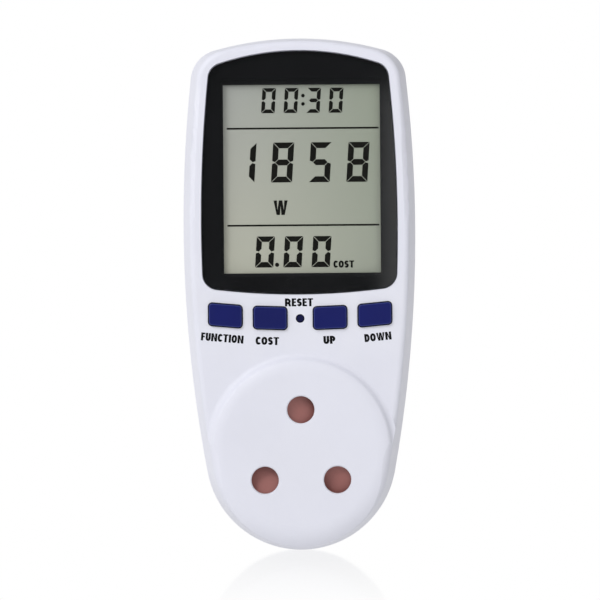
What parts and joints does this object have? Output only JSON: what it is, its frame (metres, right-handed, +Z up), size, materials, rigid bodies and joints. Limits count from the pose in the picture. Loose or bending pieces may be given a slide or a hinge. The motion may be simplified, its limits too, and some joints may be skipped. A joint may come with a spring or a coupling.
{
  "type": "plug-in power meter",
  "caption": "Plug-in mains power meter: tall rounded case with a large LCD, a row of small keys, a shuttered round-pin socket on the front and a matching plug on the back.",
  "frame": {"origin": "centre of the plug boss's flat face, which meets the wall outlet", "axes": "+Z up along the case towards the display's top, +Y out of the back along the plug pins, +X to the viewer's right from the front"},
  "size_m": [0.0628, 0.0616, 0.1385],
  "materials": {
    "shell": "pale lilac-grey moulded ABS, fine satin texture",
    "keycap": "navy moulded plastic, satin",
    "reset_key": "dark blue moulded plastic",
    "lens": "clear acrylic, gloss",
    "black_film": "black printed border and adhesive",
    "dark_plastic": "dark grey moulded plastic",
    "lcd_film": "grey-green polarizer film",
    "lcd_glass": "thin display glass",
    "reflector": "matt silver film",
    "elastomer": "soft conductive and foam rubber",
    "circuit_board": "green solder-masked glass epoxy",
    "switch_body": "black nylon",
    "spring_steel": "bright spring steel",
    "screw_steel": "zinc-plated steel",
    "shutter": "reddish-brown moulded plastic",
    "carrier": "off-white heat-resistant moulding",
    "contact_brass": "tinned brass",
    "pin_brass": "nickel-plated turned brass",
    "copper": "bare copper strip",
    "capacitor_film": "yellow resin case",
    "capacitor_can": "sleeved aluminium can",
    "varistor_blue": "blue dipped coating",
    "battery_sleeve": "heat-shrink sleeve over nickel cells",
    "chip_black": "black moulding with tinned leads",
    "label_paper": "blank satin silver label"
  },
  "bodies": {
    "case": {"front_shell": "shell", "rear_shell": "shell", "display_lens": "lens", "lens_gasket": "black_film", "lcd_holder": "dark_plastic", "lcd_polarizer": "lcd_film", "lcd_cell": "lcd_glass", "lcd_reflector": "reflector", "zebra_strip": "elastomer", "lcd_pad": "elastomer", "display_board": "circuit_board", "power_board": "circuit_board", "snap_domes": "spring_steel", "shutter_spring": "spring_steel", "carrier_cover": "carrier", "contact_carrier": "carrier", "line_contact": "contact_brass", "neutral_contact": "contact_brass", "earth_contact": "contact_brass", "line_pin": "pin_brass", "neutral_pin": "pin_brass", "earth_pin": "pin_brass", "pin_retainer": "carrier", "line_pin_strap": "copper", "line_contact_strap": "copper", "neutral_strap": "copper", "film_capacitor": "capacitor_film", "electrolytic_capacitors": "capacitor_can", "varistor": "varistor_blue", "shunt": "copper", "backup_battery": "battery_sleeve", "metering_chip": "chip_black", "crystal": "screw_steel", "board_header": "switch_body", "case_screws": "screw_steel", "display_board_screws": "screw_steel", "power_board_screws": "screw_steel", "carrier_screws": "screw_steel", "retainer_screws": "screw_steel", "rating_label": "label_paper", "switch_function": "switch_body", "switch_cost": "switch_body", "switch_up": "switch_body", "switch_down": "switch_body", "switch_reset": "switch_body"},
    "key_function": {"button_function": "keycap", "plunger_function": "switch_body"},
    "key_cost": {"button_cost": "keycap", "plunger_cost": "switch_body"},
    "key_up": {"button_up": "keycap", "plunger_up": "switch_body"},
    "key_down": {"button_down": "keycap", "plunger_down": "switch_body"},
    "key_reset": {"button_reset": "reset_key", "plunger_reset": "switch_body"},
    "shutter": {"socket_shutter": "shutter"}
  },
  "joints": [
    {"name": "function_press", "type": "slide", "parent": "case", "child": "key_function", "axis": [0, 1, 0], "range_m": [0, 0.0005], "stiffness_N_per_m": 400, "springref_m": -0.001},
    {"name": "cost_press", "type": "slide", "parent": "case", "child": "key_cost", "axis": [0, 1, 0], "range_m": [0, 0.0005], "stiffness_N_per_m": 400, "springref_m": -0.001},
    {"name": "up_press", "type": "slide", "parent": "case", "child": "key_up", "axis": [0, 1, 0], "range_m": [0, 0.0005], "stiffness_N_per_m": 400, "springref_m": -0.001},
    {"name": "down_press", "type": "slide", "parent": "case", "child": "key_down", "axis": [0, 1, 0], "range_m": [0, 0.0005], "stiffness_N_per_m": 400, "springref_m": -0.001},
    {"name": "reset_press", "type": "slide", "parent": "case", "child": "key_reset", "axis": [0, 1, 0], "range_m": [0, 0.0005], "stiffness_N_per_m": 400, "springref_m": -0.001},
    {"name": "shutter_turn", "type": "hinge", "parent": "case", "child": "shutter", "pos_m": [0, -0.0372, -0.00129], "axis": [0, -1, 0], "range_deg": [0, 42], "stiffness_Nm_per_rad": 0.004, "springref_deg": -17.19, "deforming": ["shutter_spring"]}
  ]
}
